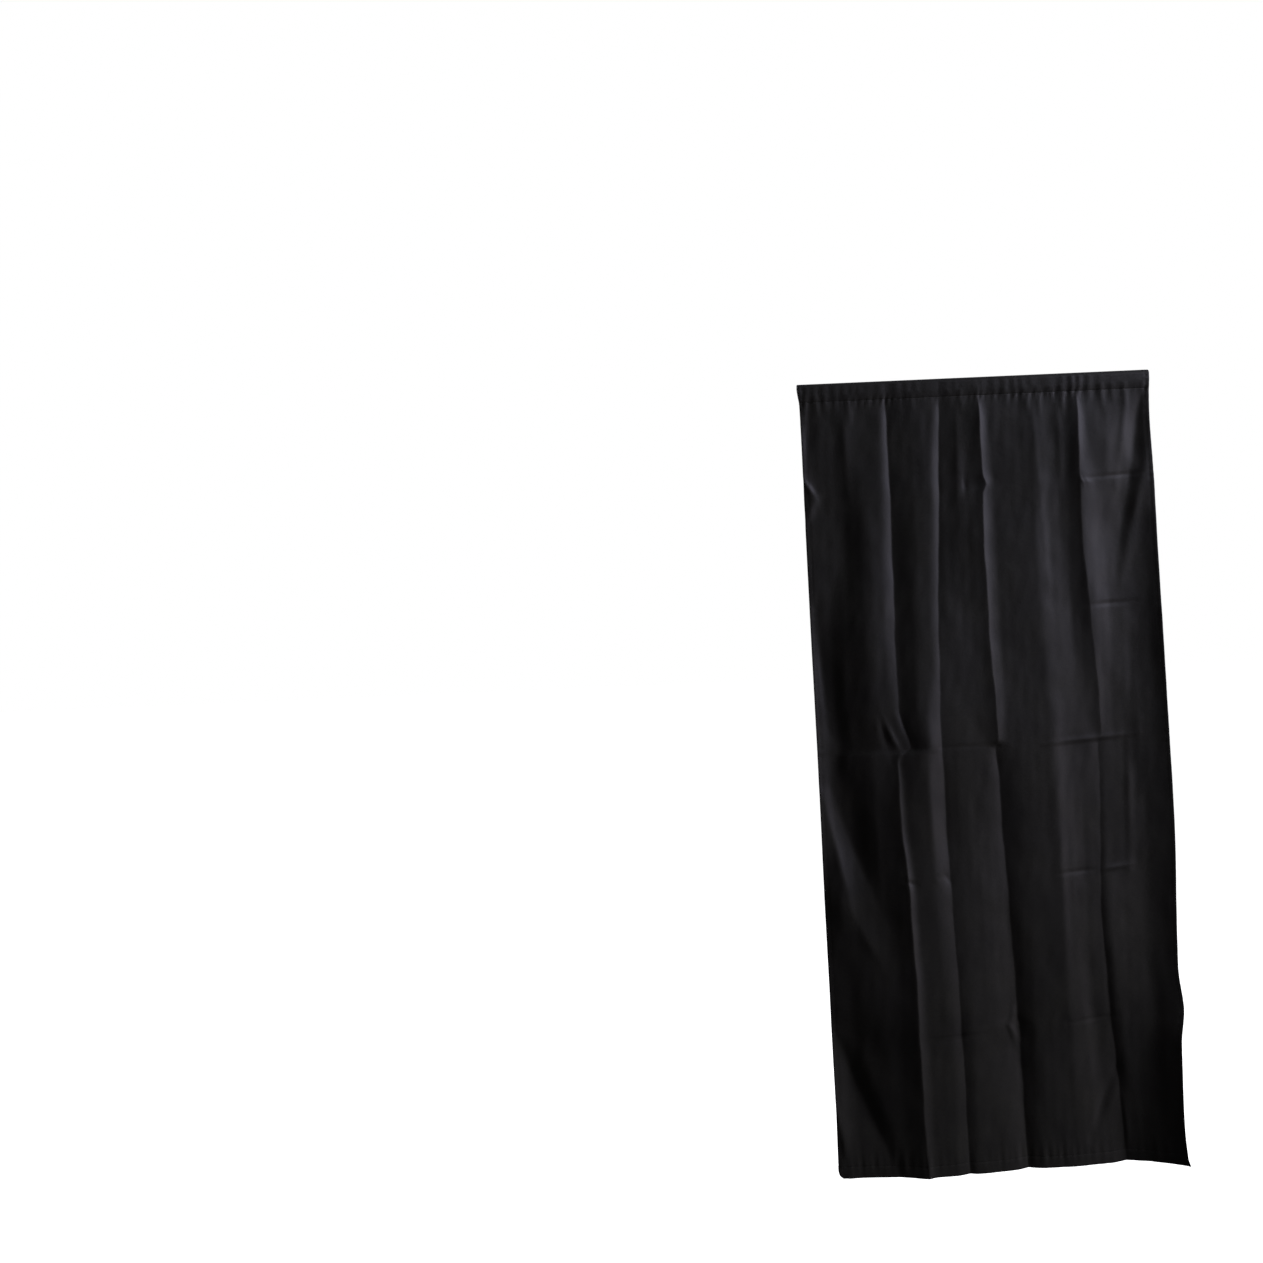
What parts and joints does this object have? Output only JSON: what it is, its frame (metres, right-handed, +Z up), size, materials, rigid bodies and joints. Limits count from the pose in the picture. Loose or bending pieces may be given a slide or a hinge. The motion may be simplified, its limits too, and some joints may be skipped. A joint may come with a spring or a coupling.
{
  "type": "thermal blackout curtain",
  "caption": "Plain black blackout panel with a rod pocket along its top and narrow hems, hanging in shallow folds.",
  "frame": {"origin": "on the axis of the rod pocket, at mid width", "axes": "+X along the rod, to the right as seen from the room; +Y away from the room; +Z up"},
  "size_m": [0.9657, 0.0852, 2.1335],
  "materials": {
    "blackout_cloth": "dense black polyester weave with a soft satin sheen"
  },
  "bodies": {
    "root": {"panel": "blackout_cloth", "rod_pocket": "blackout_cloth"}
  },
  "joints": []
}
